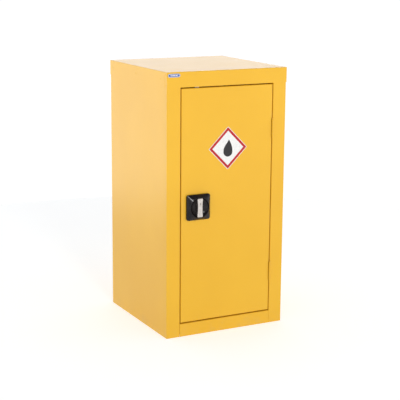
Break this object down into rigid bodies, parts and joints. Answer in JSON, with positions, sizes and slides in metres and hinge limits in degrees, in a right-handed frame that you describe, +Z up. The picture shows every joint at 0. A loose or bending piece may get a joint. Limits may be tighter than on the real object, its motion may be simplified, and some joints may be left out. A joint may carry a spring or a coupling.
{
  "type": "flammable storage cabinet",
  "caption": "Yellow folded-steel floor cabinet for flammable liquids, with a hinged lockable door, recessed turning handle, adjustable spill-tray shelf and a leak-proof sump.",
  "frame": {"origin": "on the floor under the middle of the cabinet's body", "axes": "+Z up, -Y towards the front (the door's face), +X to the right as seen from the front"},
  "size_m": [0.454, 0.4813, 0.9],
  "materials": {
    "yellow_paint": "semi-gloss powder coat",
    "black_plastic": "semi-gloss moulded",
    "satin_chrome": "satin die-cast",
    "zinc_plate": "bright zinc plate",
    "black_rubber": "matt",
    "black_nylon": "matt moulded",
    "label_white": "vinyl film",
    "label_red": "vinyl film",
    "label_black": "vinyl film",
    "blue_badge": "domed film"
  },
  "bodies": {
    "cabinet": {"left_side_panel": "yellow_paint", "right_side_panel": "yellow_paint", "back_panel": "yellow_paint", "top_cap": "yellow_paint", "sump_tray": "yellow_paint", "bottom_rail": "yellow_paint", "top_rail": "yellow_paint", "upright_left_front": "yellow_paint", "upright_left_rear": "yellow_paint", "upright_right_front": "yellow_paint", "upright_right_rear": "yellow_paint", "shelf_clips": "zinc_plate", "cap_rivets": "yellow_paint", "door_buffers": "black_rubber", "cap_badge": "blue_badge", "hinge_frame_leaf_lower": "yellow_paint", "hinge_frame_leaf_upper": "yellow_paint", "hinge_pin_lower": "yellow_paint", "hinge_pin_upper": "yellow_paint"},
    "door": {"door_skin": "yellow_paint", "door_stiffener": "yellow_paint", "hinge_door_leaf_lower": "yellow_paint", "hinge_door_leaf_upper": "yellow_paint", "bar_guides": "black_nylon", "lock_escutcheon": "black_plastic", "lock_clamp_plate": "zinc_plate", "lock_screws": "zinc_plate", "label_plate": "label_white", "label_border": "label_red", "label_symbol": "label_black"},
    "handle": {"handle_grip": "satin_chrome", "drive_cam": "zinc_plate", "cam_pins": "zinc_plate", "cam_screw": "zinc_plate"},
    "upper_bar": {"upper_locking_bar": "zinc_plate"},
    "lower_bar": {"lower_locking_bar": "zinc_plate"},
    "lock_plug": {"lock_plug": "satin_chrome"},
    "shelf": {"shelf_tray": "yellow_paint"}
  },
  "joints": [
    {"name": "door_hinge", "type": "hinge", "parent": "cabinet", "child": "door", "pos_m": [0.174, -0.2326, 0.443], "axis": [0, 0, 1], "range_deg": [0, 175]},
    {"name": "handle_turn", "type": "hinge", "parent": "door", "child": "handle", "pos_m": [-0.1105, -0.23, 0.447], "axis": [0, 1, 0], "range_deg": [0, 90]},
    {"name": "upper_bar_slide", "type": "slide", "parent": "door", "child": "upper_bar", "axis": [0, 0, 1], "range_m": [0, 0.0185]},
    {"name": "lower_bar_slide", "type": "slide", "parent": "door", "child": "lower_bar", "axis": [0, 0, -1], "range_m": [0, 0.0185]},
    {"name": "key_turn", "type": "hinge", "parent": "handle", "child": "lock_plug", "pos_m": [-0.1105, -0.245, 0.46], "axis": [0, 1, 0], "range_deg": [0, 90]},
    {"name": "shelf_lift", "type": "slide", "parent": "cabinet", "child": "shelf", "axis": [0, 0, 1], "range_m": [0, 0.025]}
  ],
  "couplings": [
    {"joint": "upper_bar_slide", "follows": "handle_turn", "m_per_rad": 0.011704},
    {"joint": "lower_bar_slide", "follows": "handle_turn", "m_per_rad": 0.011704}
  ]
}
